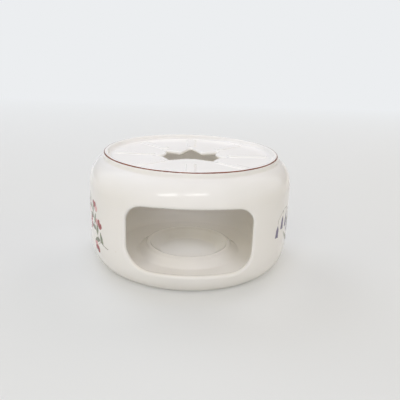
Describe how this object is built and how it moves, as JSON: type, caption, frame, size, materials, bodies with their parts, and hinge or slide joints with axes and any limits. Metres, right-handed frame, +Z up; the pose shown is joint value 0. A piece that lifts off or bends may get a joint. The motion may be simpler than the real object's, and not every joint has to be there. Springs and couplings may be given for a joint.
{
  "type": "tealight warmer",
  "caption": "Squat drum-shaped glazed ceramic tealight warmer with a rounded front window, a candle ring inside and a dished top plate with a star vent and ribs.",
  "frame": {"origin": "middle of the foot ring's underside, on the surface that the warmer stands on", "axes": "+Z up along the drum's axis, -Y towards the front window, +X to the right of someone who faces the window"},
  "size_m": [0.15, 0.1498, 0.084],
  "materials": {
    "glaze": "warm white gloss glaze",
    "line_colour": "fired-on russet brown line, semi-gloss",
    "bare_body": "unglazed ground foot, matt"
  },
  "bodies": {
    "root": {"foot_ring": "bare_body", "floor_plate": "glaze", "candle_ring": "glaze", "drum_wall": "glaze", "top_plate": "glaze", "rim_line": "line_colour"}
  },
  "joints": []
}
